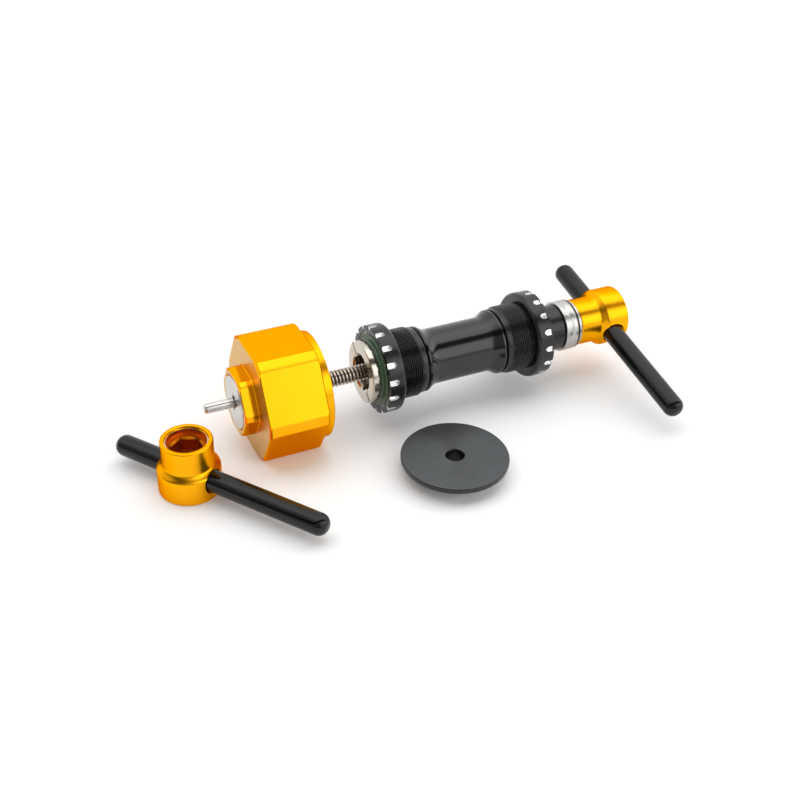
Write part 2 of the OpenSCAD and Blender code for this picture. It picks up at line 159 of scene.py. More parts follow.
def grid_mesh(rows, close_rows=False, face_material=None):
    """A bmesh skin over closed rows of points; the last row joins the first if close_rows."""
    bm = bmesh.new()
    made = [[bm.verts.new(p) for p in row] for row in rows]
    pairs = len(rows) if close_rows else len(rows) - 1
    count = len(rows[0])
    for j in range(pairs):
        a, b = made[j], made[(j + 1) % len(rows)]
        for k in range(count):
            n = (k + 1) % count
            face = bm.faces.new((a[k], a[n], b[n], b[k]))
            if face_material:
                face.material_index = face_material(j, k)
    return bm


def revolve(profile, segments=128, closed=True):
    """A bmesh turned about z from profile points (z, r)."""
    rows = []
    for z, r in profile:
        rows.append([(r * math.cos(TURN * k / segments), r * math.sin(TURN * k / segments), z)
                     for k in range(segments)])
    return grid_mesh(rows, close_rows=closed)


def prism(outline, z0, z1):
    """A closed bmesh between z0 and z1 over an outline of (x, y) points."""
    bm = bmesh.new()
    low = [bm.verts.new((x, y, z0)) for x, y in outline]
    high = [bm.verts.new((x, y, z1)) for x, y in outline]
    bm.faces.new(low)
    bm.faces.new(high)
    count = len(outline)
    for i in range(count):
        n = (i + 1) % count
        bm.faces.new((low[i], low[n], high[n], high[i]))
    bmesh.ops.recalc_face_normals(bm, faces=bm.faces)
    return bm


def hexagon(flats):
    """Corners of a hexagon with this width across its flats."""
    r = flats / 2 / math.cos(math.pi / 6)
    angles = [math.radians(30 + 60 * i) for i in range(6)]
    return [(r * math.cos(a), r * math.sin(a)) for a in angles]


def carve(obj, cutters, operation="DIFFERENCE"):
    """Applies boolean cuts of bmeshes in the object's own millimetres and place."""
    for bm, matrix in cutters:
        tool = new_object("tool", bm, matrix, [])
        modifier = obj.modifiers.new("carve", "BOOLEAN")
        modifier.operation = operation
        modifier.solver = "EXACT"
        modifier.object = tool
        apply_modifiers(obj)
        bpy.data.objects.remove(tool)


def weld(obj, distance):
    """Joins points closer than a distance in millimetres, and flattens what a cut split."""
    bm = bmesh.new()
    bm.from_mesh(obj.data)
    bmesh.ops.remove_doubles(bm, verts=bm.verts, dist=distance * MM)
    bmesh.ops.dissolve_limit(bm, angle_limit=math.radians(0.5), verts=bm.verts, edges=bm.edges)
    bm.to_mesh(obj.data)
    bm.free()


def soften(obj, width, angle, segments):
    """Rounds the object's edges sharper than an angle, by a width in millimetres."""
    modifier = obj.modifiers.new("soften", "BEVEL")
    modifier.width = width * MM
    modifier.segments = segments
    modifier.limit_method = "ANGLE"
    modifier.angle_limit = math.radians(angle)
    modifier.use_clamp_overlap = True
    modifier.harden_normals = False
    apply_modifiers(obj)
    for polygon in obj.data.polygons:
        polygon.use_smooth = True
    obj.data.set_sharp_from_angle(angle=math.radians(angle))


def apply_modifiers(obj):
    """Replaces the object's mesh by the one that its modifiers make."""
    bpy.context.view_layer.update()
    depsgraph = bpy.context.evaluated_depsgraph_get()
    mesh = bpy.data.meshes.new_from_object(obj.evaluated_get(depsgraph))
    obj.modifiers.clear()
    old = obj.data
    obj.data = mesh
    bpy.data.meshes.remove(old)
    mesh.name = obj.name


# One turn of a thread's section: how far along the pitch, and how high above the root, as shares.
VEE = [(0.0, 0.0), (0.44, 1.0), (0.56, 1.0)]
TRAPEZOID = [(0.0, 0.0), (0.16, 0.0), (0.34, 1.0), (0.68, 1.0), (0.86, 0.0)]


def helix_skin(start, end, crest, depth, pitch, shape, steps, left_hand=False, lead_in=1.0, root=0):
    """A bmesh of one continuous thread that fades out at both ends; root is the material of its groove."""
    total = int(round((end - start) / pitch * steps)) + steps
    sign = -1 if left_hand else 1
    bm = bmesh.new()
    lines = []
    for s in range(total + 1):
        angle = sign * TURN * s / steps
        line = []
        for at, height in shape:
            z = start - pitch + pitch * (s / steps + at)
            fade = min(1.0, max(0.0, (z - start) / lead_in), max(0.0, (end - z) / lead_in))
            r = crest - depth + height * depth * fade
            z = min(max(z, start), end)
            line.append(bm.verts.new((r * math.cos(angle), r * math.sin(angle), z)))
        lines.append(line)
    for s in range(total):
        a, b = lines[s], lines[s + 1]
        for m in range(len(shape) - 1):
            face = bm.faces.new((a[m], b[m], b[m + 1], a[m + 1]))
            raised = shape[m][1] + shape[m + 1][1] > 0
            face.material_index = 0 if raised else root
        if s + steps + 1 <= total:
            c, d = lines[s + steps], lines[s + steps + 1]
            bm.faces.new((a[-1], b[-1], d[0], c[0])).material_index = root
    return bm


def along_x(x=0.0, turn=0.0):
    """Places a piece made along its own z on the screw's axis, with z towards +X."""
    return (Matrix.Translation((x, 0, AXIS_Z)) @ Matrix.Rotation(math.pi / 2, 4, "Y")
            @ Matrix.Rotation(math.radians(turn), 4, "Z"))


def against_x(x=0.0, turn=0.0):
    """The same with z towards -X."""
    return (Matrix.Translation((x, 0, AXIS_Z)) @ Matrix.Rotation(-math.pi / 2, 4, "Y")
            @ Matrix.Rotation(math.radians(turn), 4, "Z"))


def finished(obj, body, slot, *nodes):
    """Rides a piece on its body and hides the CAD nodes that it stands for; the slot is not used."""
    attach(obj, body)
    if nodes:
        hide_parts(*nodes)


# ---- Materials ----


class Paint:
    """A small builder of node materials around one Principled shader."""

    def __init__(self, name, **sockets):
        self.material = bpy.data.materials.new(name)
        self.material.use_nodes = True
        self.tree = self.material.node_tree
        self.shader = self.tree.nodes["Principled BSDF"]
        for key, value in sockets.items():
            self.shader.inputs[key.replace("_", " ").title().replace("Ior", "IOR")].default_value = value
        self.bump_in = None

    def node(self, kind, **values):
        made = self.tree.nodes.new(kind)
        for key, value in values.items():
            setattr(made, key, value)
        return made

    def link(self, a, b):
        self.tree.links.new(a, b)

    def coords(self, scale=(1, 1, 1)):
        source = self.node("ShaderNodeTexCoord")
        mapping = self.node("ShaderNodeMapping")
        mapping.inputs["Scale"].default_value = scale
        self.link(source.outputs["Object"], mapping.inputs["Vector"])
        return mapping.outputs["Vector"]

    def noise(self, scale, detail=4.0, rough=0.55, stretch=(1, 1, 1)):
        made = self.node("ShaderNodeTexNoise")
        made.inputs["Scale"].default_value = scale
        made.inputs["Detail"].default_value = detail
        made.inputs["Roughness"].default_value = rough
        self.link(self.coords(stretch), made.inputs["Vector"])
        return made.outputs["Fac"]

    def ramp(self, value, low, high, out_low, out_high):
        made = self.node("ShaderNodeMapRange")
        made.inputs["From Min"].default_value = low
        made.inputs["From Max"].default_value = high
        made.inputs["To Min"].default_value = out_low
        made.inputs["To Max"].default_value = out_high
        self.link(value, made.inputs["Value"])
        return made.outputs["Result"]

    def mix(self, value, low, high):
        made = self.node("ShaderNodeMix", data_type="RGBA")
        made.inputs["A"].default_value = (*low, 1)
        made.inputs["B"].default_value = (*high, 1)
        self.link(value, made.inputs["Factor"])
        return made.outputs["Result"]

    def base(self, output):
        self.link(output, self.shader.inputs["Base Color"])
        return self

    def rough(self, output):
        self.link(output, self.shader.inputs["Roughness"])
        return self

    def bump(self, height, strength, distance):
        made = self.node("ShaderNodeBump")
        made.inputs["Strength"].default_value = strength
        made.inputs["Distance"].default_value = distance
        self.link(height, made.inputs["Height"])
        if self.bump_in:
            self.link(self.bump_in, made.inputs["Normal"])
        self.bump_in = made.outputs["Normal"]
        self.link(self.bump_in, self.shader.inputs["Normal"])
        return self

    def tangent(self, axis):
        made = self.node("ShaderNodeTangent", direction_type="RADIAL", axis=axis)
        self.link(made.outputs["Tangent"], self.shader.inputs["Tangent"])
        return self

    def distance(self, axis, centre):
        """The distance from an axis through centre."""
        source = self.node("ShaderNodeTexCoord")
        shift = self.node("ShaderNodeVectorMath", operation="SUBTRACT")
        shift.inputs[1].default_value = centre
        self.link(source.outputs["Object"], shift.inputs[0])
        keep = self.node("ShaderNodeVectorMath", operation="MULTIPLY")
        keep.inputs[1].default_value = {"X": (0, 1, 1), "Z": (1, 1, 0)}[axis]
        self.link(shift.outputs[0], keep.inputs[0])
        length = self.node("ShaderNodeVectorMath", operation="LENGTH")
        self.link(keep.outputs[0], length.inputs[0])
        return length.outputs["Value"]

    def sine(self, value, frequency):
        times = self.node("ShaderNodeMath", operation="MULTIPLY")
        times.inputs[1].default_value = frequency
        self.link(value, times.inputs[0])
        wave = self.node("ShaderNodeMath", operation="SINE")
        self.link(times.outputs[0], wave.inputs[0])
        return wave.outputs[0]


def gold(name, axis, roughness, anisotropy, grazing, low=(0.96, 0.41, 0.004), high=(1.0, 0.44, 0.008)):
    """Gold anodising with a turned lay round an axis; grazing is the tint of its flattest reflections."""
    p = Paint(name, metallic=1.0, roughness=roughness, anisotropic=anisotropy, specular_tint=(*grazing, 1))
    p.tangent(axis)
    p.base(p.mix(p.noise(90, 3), low, high))
    lay = (1, 0.02, 0.02) if axis == "X" else (0.02, 0.02, 1)
    p.rough(p.ramp(p.noise(5000, 2, stretch=lay), 0.3, 0.7, roughness * 0.92, roughness * 1.08))
    p.bump(p.noise(6000, 2, stretch=lay), 0.05, 0.00001)
    return p.material


def black_anodised():
    """Satin black anodising of the cups and the guide."""
    p = Paint("black_anodised", metallic=0.0, roughness=0.26, specular_ior_level=0.5)
    p.base(p.mix(p.noise(400, 3), (0.0035, 0.0035, 0.004), (0.008, 0.008, 0.009)))
    p.rough(p.ramp(p.noise(900, 4), 0.3, 0.7, 0.22, 0.32))
    p.bump(p.noise(5000, 2), 0.08, 0.00002)
    return p.material


def polished_black():
    """Glossy black of the bars."""
    p = Paint("bar_black", metallic=0.0, roughness=0.12, specular_ior_level=0.34)
    p.base(p.mix(p.noise(300, 3), (0.002, 0.002, 0.0018), (0.0045, 0.0045, 0.004)))
    p.rough(p.ramp(p.noise(700, 4), 0.3, 0.7, 0.09, 0.16))
    p.bump(p.noise(1800, 2), 0.03, 0.00002)
    return p.material


def sleeve_plastic():
    """Glossy moulded black with slight waves."""
    p = Paint("sleeve_plastic", roughness=0.15, specular_ior_level=0.6)
    p.base(p.mix(p.noise(120, 2), (0.0012, 0.0012, 0.0016), (0.003, 0.003, 0.0035)))
    p.rough(p.ramp(p.noise(260, 4), 0.3, 0.7, 0.12, 0.19))
    p.bump(p.noise(350, 3), 0.05, 0.00004)
    return p.material


def bare_aluminium():
    """Machined metal under the anodising, in the notches."""
    p = Paint("bare_aluminium", metallic=1.0, roughness=0.28)
    p.base(p.mix(p.noise(500, 3), (0.80, 0.80, 0.81), (0.95, 0.95, 0.95)))
    p.rough(p.ramp(p.noise(2500, 3), 0.3, 0.7, 0.22, 0.38))
    p.bump(p.noise(6000, 2), 0.1, 0.00002)
    return p.material


def cover_green():
    """Green plastic with pale specks."""
    p = Paint("cover_green", roughness=0.42, specular_ior_level=0.5)
    speck = p.ramp(p.noise(1500, 4, 0.7), 0.42, 0.62, 0, 1)
    p.base(p.mix(speck, (0.020, 0.056, 0.026), (0.17, 0.26, 0.15)))
    p.rough(p.ramp(p.noise(800, 3), 0.3, 0.7, 0.34, 0.5))
    p.bump(p.noise(1500, 4, 0.7), 0.35, 0.00008)
    return p.material


def nickel():
    """Warm polished plating of the collet."""
    p = Paint("nickel", metallic=1.0, roughness=0.15)
    p.base(p.mix(p.noise(150, 3), (0.50, 0.46, 0.39), (0.60, 0.56, 0.49)))
    p.rough(p.ramp(p.noise(500, 4), 0.3, 0.7, 0.11, 0.19))
    p.bump(p.noise(900, 3), 0.08, 0.00003)
    return p.material


def turned_steel(axis):
    """Satin steel with a turned lay round an axis."""
    p = Paint("turned_steel_" + axis.lower(), metallic=1.0, roughness=0.26, anisotropic=0.5)
    p.tangent(axis)
    p.base(p.mix(p.noise(600, 3), (0.50, 0.49, 0.47), (0.58, 0.57, 0.55)))
    lay = (1, 0.02, 0.02) if axis == "X" else (0.02, 0.02, 1)
    p.rough(p.ramp(p.noise(5000, 2, stretch=lay), 0.3, 0.7, 0.23, 0.3))
    p.bump(p.noise(6000, 2, stretch=lay), 0.05, 0.00001)
    return p.material


def screw_steel():
    """Worn thread crests."""
    p = Paint("screw_steel", metallic=1.0, roughness=0.3)
    p.base(p.mix(p.noise(400, 4), (0.40, 0.34, 0.28), (0.62, 0.56, 0.48)))
    p.rough(p.ramp(p.noise(900, 4), 0.3, 0.7, 0.2, 0.42))
    p.bump(p.noise(2500, 3), 0.15, 0.00003)
    return p.material


def dark_thread_root():
    """Darker metal in the screw's groove and over its threaded core than on its crests."""
    p = Paint("dark_thread_root", metallic=1.0, roughness=0.45)
    p.base(p.mix(p.noise(500, 3), (0.035, 0.026, 0.018), (0.075, 0.058, 0.042)))
    p.rough(p.ramp(p.noise(900, 4), 0.3, 0.7, 0.35, 0.55))
    p.bump(p.noise(2500, 3), 0.2, 0.00003)
    return p.material


def plain_metal(name, low, high, roughness):
    """Metal between two colours with an uneven sheen."""
    p = Paint(name, metallic=1.0, roughness=roughness)
    p.base(p.mix(p.noise(700, 3), low, high))
    p.rough(p.ramp(p.noise(1500, 4), 0.3, 0.7, roughness * 0.75, roughness * 1.3))
    p.bump(p.noise(3000, 2), 0.1, 0.00002)
    return p.material


def plain_plastic(name, low, high, roughness):
    """Plastic or rubber between two colours."""
    p = Paint(name, roughness=roughness)
    p.base(p.mix(p.noise(500, 3), low, high))
    p.rough(p.ramp(p.noise(900, 4), 0.3, 0.7, roughness * 0.8, roughness * 1.2))
    p.bump(p.noise(2500, 3), 0.15, 0.00003)
    return p.material


def turned_disc():
    """Dark anodising with fine turned grooves, deepest round the hole; its grey, lighter than the black rim,
    is a painted sheen of the top face under light from above.
    """
    p = Paint("disc_black", metallic=0.5, roughness=0.42, anisotropic=0.85, specular_ior_level=0.5)
    p.tangent("Z")
    radius = p.distance("Z", (DISC_X * MM, DISC_Y * MM, 0))
    near_hole = p.ramp(radius, 0.0062, 0.0092, 1.0, 0.25)
    groove = p.node("ShaderNodeMath", operation="MULTIPLY")
    p.link(p.sine(radius, TURN / 0.0007), groove.inputs[0])
    p.link(near_hole, groove.inputs[1])
    p.base(p.mix(p.noise(350, 4), (0.070, 0.075, 0.079), (0.096, 0.102, 0.107)))
    p.rough(p.ramp(p.noise(900, 4), 0.3, 0.7, 0.38, 0.48))
    p.bump(groove.outputs[0], 0.25, 0.00001)
    return p.material


def turned_cap():
    """Pale steel with fine rings turned round the pin's hole."""
    p = Paint("cap_steel", metallic=1.0, roughness=0.24, anisotropic=0.6)
    p.tangent("X")
    radius = p.distance("X", (0, 0, AXIS_Z * MM))
    p.base(p.mix(p.noise(500, 3), (0.54, 0.53, 0.51), (0.61, 0.60, 0.58)))
    p.rough(p.ramp(p.noise(1200, 2), 0.3, 0.7, 0.22, 0.28))
    p.bump(p.sine(radius, TURN / 0.00022), 0.06, 0.00001)
    return p.material


def pocket_painted_shade():
    """Darker gold inside the hexagonal pockets: painted shade in the recess."""
    p = Paint("pocket_painted_shade", metallic=1.0, roughness=0.42)
    p.base(p.mix(p.noise(500, 3), (0.42, 0.10, 0.002), (0.60, 0.17, 0.003)))
    p.rough(p.ramp(p.noise(1200, 4), 0.3, 0.7, 0.34, 0.5))
    p.bump(p.noise(2500, 3), 0.2, 0.00003)
    return p.material


GOLD_FLAT = gold("gold_polished", "X", 0.12, 0.0, (0.72, 0.34, 0.01))
# The end faces get a paler tan copy of the gold with a near-white grazing tint: a painted reflection of the
# pale floor, over their real faced lay.
GOLD_END_SHEEN = gold("gold_end_painted_sheen", "X", 0.34, 0.5, (1.0, 0.95, 0.85), (0.66, 0.41, 0.15), (0.72, 0.45, 0.17))
GOLD_X = gold("gold_turned_x", "X", 0.25, 0.45, (0.8, 0.42, 0.03))
GOLD_Z = gold("gold_turned_z", "Z", 0.25, 0.45, (0.8, 0.42, 0.03))
DARK_ROOT = dark_thread_root()
PIN_STEEL = plain_metal("pin_steel", (0.55, 0.53, 0.50), (0.68, 0.66, 0.63), 0.2)
BLACK = black_anodised()
BAR_BLACK = polished_black()
SLEEVE = sleeve_plastic()
BARE = bare_aluminium()
GREEN = cover_green()
NICKEL = nickel()
STEEL_X = turned_steel("X")
SCREW = screw_steel()
DARK_STEEL = plain_metal("dark_steel", (0.10, 0.095, 0.09), (0.20, 0.19, 0.18), 0.35)
BEARING_STEEL = plain_metal("bearing_steel", (0.66, 0.67, 0.69), (0.78, 0.79, 0.80), 0.16)
SPRING_STEEL = plain_metal("spring_steel", (0.60, 0.55, 0.47), (0.78, 0.74, 0.66), 0.25)
BRONZE = plain_metal("bronze", (0.50, 0.33, 0.14), (0.66, 0.47, 0.22), 0.3)
NYLON = plain_plastic("cage_nylon", (0.52, 0.45, 0.30), (0.62, 0.55, 0.40), 0.5)
RUBBER = plain_plastic("rubber", (0.012, 0.012, 0.012), (0.022, 0.022, 0.022), 0.6)
DISC_TOP_SHEEN = turned_disc()
CAP_STEEL = turned_cap()
POCKET_SHADE_GOLD = pocket_painted_shade()


# ---- Bottom bracket ----


def cup_profile():
    """The cup's section from its bore round the outside; the ring's back is z = 0 and its face is RING_W."""
    end = -CUP_THREAD_LEN
    relief_r, back_round, face_round, seat = 16.5, 1.9, 0.4, 1.0
    rim_rows = 28
    profile = [
        (end, CUP_BORE_R), (end, LIP_R - 0.4), (end + 0.12, LIP_R - 0.12), (end + 0.4, LIP_R),
        (end + LIP_W, LIP_R), (end + LIP_W + 0.3, BARREL_R), (-1.0, BARREL_R), (-0.9, relief_r),
        (-0.2, relief_r), (0.0, relief_r + 0.2), (0.0, RING_R - 2),
    ]
    profile += arc(back_round, RING_R - back_round, back_round, 180, 90, 8)
    rim = RING_W - back_round - face_round
    profile += [(back_round + rim * i / rim_rows, RING_R) for i in range(1, rim_rows + 1)]
    profile += arc(RING_W - face_round, RING_R - face_round, face_round, 90, 0, 3)[1:]
    profile += [(RING_W, RING_R - inward) for inward in (1.1, 1.6, 2.1)]
    profile += [(RING_W, BEARING_R + 0.5), (RING_W - 0.15, BEARING_R + 0.15), (RING_W - 0.4, BEARING_R),
                (BEARING_TOP, BEARING_R), (seat, BEARING_R), (seat, CUP_BORE_R)]
    return profile


def notch_share(z, r):
    """How much of its full width a notch has at (z, r): its inner end is round, and 0 is outside it."""
    past = RING_W - NOTCH_LEN + NOTCH_HALF_W - z
    if r <= RING_R - NOTCH_DEPTH - 0.7 or z <= 1.0 or past >= NOTCH_HALF_W:
        return 0.0
    if past <= 0:
        return 1.0
    return max(0.12, math.sqrt(1 - (past / NOTCH_HALF_W) ** 2))


def cup_piece(name, matrix, left_hand, node):
    """Notched ring, plain barrel and bearing seat, with a real helical thread over the barrel."""
    profile = cup_profile()
    pitch_angle = TURN / NOTCHES
    half = NOTCH_HALF_W / RING_R
    tooth_columns = 8
    # Columns across a notch: the share of its half width, and its level (0 ring, 1 wall's foot, 2 floor).
    across = [(-1.0, 0), (-0.999, 1), (-0.93, 2), (-0.8, 2), (-0.4, 2), (0, 2), (0.4, 2), (0.8, 2), (0.93, 2),
              (0.999, 1), (1.0, 0)]
    rows, cut_flags = [], []
    for z, r in profile:
        row, flags = [], []
        share = notch_share(z, r)
        for n in range(NOTCHES):
            centre = n * pitch_angle
            for u, level in across:
                deep = share > 0 and level > 0
                floor = RING_R - NOTCH_DEPTH + (0.12 if level == 1 else 0)
                radius = min(r, floor) if deep else r
                angle = centre + u * half * (share or 1.0)
                row.append((radius * math.cos(angle), radius * math.sin(angle), z))
                flags.append(deep and radius < r)
            for t in range(1, tooth_columns):
                angle = centre + half + (pitch_angle - 2 * half) * t / tooth_columns
                row.append((r * math.cos(angle), r * math.sin(angle), z))
                flags.append(False)
        rows.append(row)
        cut_flags.append(flags)
    count = len(rows[0])

    def is_cut(j, k):
        """Notches are bare metal, except along the ring's rounded face."""
        after, beside = (j + 1) % len(rows), (k + 1) % count
        corners = [cut_flags[row][column] for row in (j, after) for column in (k, beside)]
        on_face = max(profile[j][0], profile[after][0]) >= RING_W - 0.3
        return 1 if any(corners) and not on_face else 0

    ring = new_object(name, grid_mesh(rows, True, is_cut), matrix, [BLACK, BARE], 28)
    turns = helix_skin(LIP_W - CUP_THREAD_LEN, -0.9, CUP_THREAD_R, CUP_THREAD_DEPTH, CUP_THREAD_PITCH, VEE,
                       96, left_hand)
    thread = new_object(name + "_thread", turns, matrix, [BLACK], 20)
    finished(ring, "bracket", "black_anodised", node)
    finished(thread, "bracket", "black_anodised")


LEFT_SEAT, RIGHT_SEAT = LEFT_END - CUP_THREAD_LEN, RIGHT_END + CUP_THREAD_LEN
cup_piece("left_cup_shell", against_x(LEFT_SEAT, LEFT_NOTCH_TURN), False, "left_cup")
cup_piece("right_cup_shell", along_x(RIGHT_SEAT, turn=RIGHT_NOTCH_TURN), True, "right_cup")


def sleeve_piece():
    """Waisted moulded tube with an end collar each side, flared into the waist by smooth curves."""
    start, end = span("center_sleeve", 0)
    half = (end - start) / 2
    spigot_len, collar_w, flare = 7.0, 1.2, 6.0
    waist, collar, spigot, bore = 14.0, 16.5, 14.9, 12.7
    collar_end = half - spigot_len
    collar_in = collar_end - collar_w
    side = [(half, bore), (half, spigot - 0.3), (half - 0.3, spigot), (collar_end, spigot)]
    side += arc(collar_end - 0.45, collar - 0.45, 0.45, 0, 90, 4)
    side += [(collar_in, collar)]
    flare_rows = 18
    for i in range(1, flare_rows + 1):
        t = i / flare_rows
        side.append((collar_in - flare * t, waist + (collar - waist) * (1 - t) ** 2.0 * (1 + 0.55 * t)))
    profile = side + [(-z, r) for z, r in reversed(side)]
    sleeve = new_object("sleeve_shell", revolve(profile, 144), along_x((start + end) / 2), [SLEEVE], 30)
    finished(sleeve, "bracket", "sleeve_plastic", "center_sleeve")


sleeve_piece()


def dust_cover(name, matrix, body, node):
    """Flat rim over the bearing and a raised hub that turns with the inner race."""
    bottom, rim_z, hub_top = BEARING_TOP, 8.9, RING_W + 1.8
    bore, hub_r, rim_r, groove_r = 12.0, 14.4, 18.2, 17.075
    profile = [(bottom, bore), (bottom, 14.2), (bottom + 0.2, 14.2), (bottom + 0.2, rim_r)]
    profile += arc(rim_z - 0.3, rim_r - 0.3, 0.3, 90, 0, 3)
    profile += [(rim_z, groove_r + 0.275), (rim_z - 0.18, groove_r + 0.125), (rim_z - 0.18, groove_r - 0.125),
                (rim_z, groove_r - 0.275), (rim_z, 15.0)]
    profile += arc(rim_z + 0.4, hub_r + 0.4, 0.4, 180, 270, 4)
    profile += [(hub_top - 1.2, hub_r)] + arc(hub_top - 1.3, hub_r - 1.2, 1.2, 90, 10, 6)
    profile += [(hub_top, bore + 0.6), (hub_top - 0.3, bore)]
    cover = new_object(name, revolve(profile, 128), matrix, [GREEN], 30)
    finished(cover, body, "cover_green", node)


dust_cover("left_cover", against_x(LEFT_SEAT), "left_spinner", "left_dust_cover")
dust_cover("right_cover", along_x(RIGHT_SEAT), "right_spinner", "right_dust_cover")

# ---- Receiver ----


def hex_outline(apothem, corner, inset=0.0, flat_steps=8, round_steps=5):
    """Outline of a hexagon with turned corners, moved inwards by inset."""
    a, r = apothem - inset, corner - inset
    meet = math.acos(a / r)
    half = a * math.tan(meet)
    turned = TURN / 6 - 2 * meet
    local = [(a, -half + 2 * half * i / flat_steps) for i in range(flat_steps + 1)]
    local += [(r * math.cos(meet + turned * i / round_steps), r * math.sin(meet + turned * i / round_steps))
              for i in range(1, round_steps)]
    points = []
    for side in range(6):
        c, d = math.cos(TURN / 6 * side), math.sin(TURN / 6 * side)
        points += [(x * c - y * d, x * d + y * c) for x, y in local]
    return points


def like_circle(outline, radius):
    """The outline's points moved onto a circle, each at its own angle."""
    return [(radius * x / math.hypot(x, y), radius * y / math.hypot(x, y)) for x, y in outline]


def end_rows(apothem, corner, z, direction, turned, bevel):
    """Outlines at one end of a hexagonal body: a small bevel, then the turned chamfer of its corners."""
    rows = []
    for depth in (0, bevel, bevel + (turned - bevel) * 0.5, turned, turned + 0.1):
        outline = hex_outline(apothem, corner - max(0, turned - depth), max(0, bevel - depth))
        rows.append((z + direction * depth, outline))
    return rows


def receiver_piece():
    """Polished hexagon, small hexagonal boss, round spigot and deep cavity, in one skin."""
    start, end = RECEIVER_START, RECEIVER_END
    x0, x1 = start + BOSS_LEN, start + BOSS_LEN + HEX_LEN
    cavity_floor, bush_seat, cap_seat = x0 + 8.6, x0 + 2.6, start + 3
    bore, bush_r, fillet = 4.9, CAP_R - 2, 0.5
    fillet_steps, length_steps = 4, 12
    body = hex_outline(HEX_FLATS / 2, HEX_CORNER_R)
    rows = []

    def circles(*points):
        rows.extend([(x, y, z) for x, y in like_circle(body, r)] for z, r in points)

    def outlines(pairs):
        rows.extend([(x, y, z) for x, y in outline] for z, outline in pairs)

    circles((cavity_floor, bore), (bush_seat, bore), (bush_seat, bush_r), (cap_seat, bush_r),
            (cap_seat, CAP_R), (start + 0.5, CAP_R), (start + 0.1, CAP_R + 0.3), (start, CAP_R + 0.5),
            (start, CAP_R + 1.2))
    outlines(end_rows(BOSS_FLATS / 2, BOSS_CORNER_R, start, 1, 0.7, 0.4))
    outlines([(x0 - fillet - 0.1, hex_outline(BOSS_FLATS / 2, BOSS_CORNER_R))])
    for step in range(fillet_steps + 1):
        angle = math.pi / 2 * step / fillet_steps
        inset = -fillet * (1 - math.cos(angle))
        z = x0 - fillet + fillet * math.sin(angle)
        outlines([(z, hex_outline(BOSS_FLATS / 2, BOSS_CORNER_R, inset))])
    circles((x0, 21))
    outlines(end_rows(HEX_FLATS / 2, HEX_CORNER_R, x0, 1, 0.9, 0.55))
    outlines([(x0 + 1 + (HEX_LEN - 2) * i / length_steps, body) for i in range(1, length_steps)])
    outlines(reversed(end_rows(HEX_FLATS / 2, HEX_CORNER_R, x1, -1, 0.9, 0.45)))
    circles((x1, SPIGOT_R + 0.3), (x1 + 0.12, SPIGOT_R + 0.08), (x1 + 0.4, SPIGOT_R),
            (end - 0.4, SPIGOT_R), (end - 0.1, SPIGOT_R - 0.12), (end, SPIGOT_R - 0.4),
            (end, CAVITY_R + 0.8), (end - 0.15, CAVITY_R + 0.35), (end - 0.7, CAVITY_R),
            (x1 - 4.6, CAVITY_R), (cavity_floor + 6, CAVITY_R), (cavity_floor + 0.8, CAVITY_R),
            (cavity_floor + 0.2, CAVITY_R - 0.25), (cavity_floor, CAVITY_R - 0.8), (cavity_floor, 12))
    piece = new_object("receiver_shell", grid_mesh(rows, True), along_x(), [GOLD_FLAT, GOLD_END_SHEEN, GOLD_X], 18)
    # Faces across the axis take the paler gold with the painted reflection; the spigot takes the turned gold.
    for polygon in piece.data.polygons:
        if abs(polygon.normal.x) > 0.9:
            polygon.material_index = 1
        elif polygon.center.x > x1 * MM:
            polygon.material_index = 2
    finished(piece, "receiver", "gold_anodised", "receiver_body")


def keyhole_outline(inset=0.0):
    """Round hole with a slot across it, as (angle, radius), with a point on every corner."""
    hole, half_w, half_l = 2.7 - inset, 1.0 - inset, 4.2 - inset
    corner, meet = math.atan2(half_w, half_l), math.asin(half_w / hole)
    marks = {0.0, corner * 0.5, corner, (corner + meet) / 2, meet}
    marks |= {meet + (math.pi - 2 * meet) * i / 24 for i in range(25)}
    marks |= {math.pi - m for m in list(marks) if m <= meet}
    marks |= {TURN - m for m in list(marks) if 0 < m < math.pi}
    out = []
    for angle in sorted(marks):
        c, s = abs(math.cos(angle)), abs(math.sin(angle))
        slot = min(half_l / max(c, 1e-9), half_w / max(s, 1e-9))
        out.append((angle, max(hole, slot)))
    return out


def cap_piece():
    """Silver disc in the boss, with a hole for the pin and a slot across it."""
    front, back = RECEIVER_START - 0.3, RECEIVER_START + 1.1
    rim, middle_r = CAP_R - 0.05, 8.0
    rows = []
    for z, r in ((back, middle_r), (back, rim), (front + 0.35, rim), (front + 0.1, rim - 0.08),
                 (front, rim - 0.35), (front, middle_r)):
        rows.append([(r * math.cos(a), r * math.sin(a), z) for a, _ in keyhole_outline()])
    for z, inset in ((front, -0.18), (front + 0.06, -0.05), (front + 0.2, 0.0), (back, 0.0)):
        rows.append([(r * math.cos(a), r * math.sin(a), z) for a, r in keyhole_outline(inset)])
    piece = new_object("cap_shell", grid_mesh(rows, True), along_x(), [CAP_STEEL], 30)
    finished(piece, "receiver", "nickel", "receiver_cap")


receiver_piece()
cap_piece()

# ---- Screw and collet ----


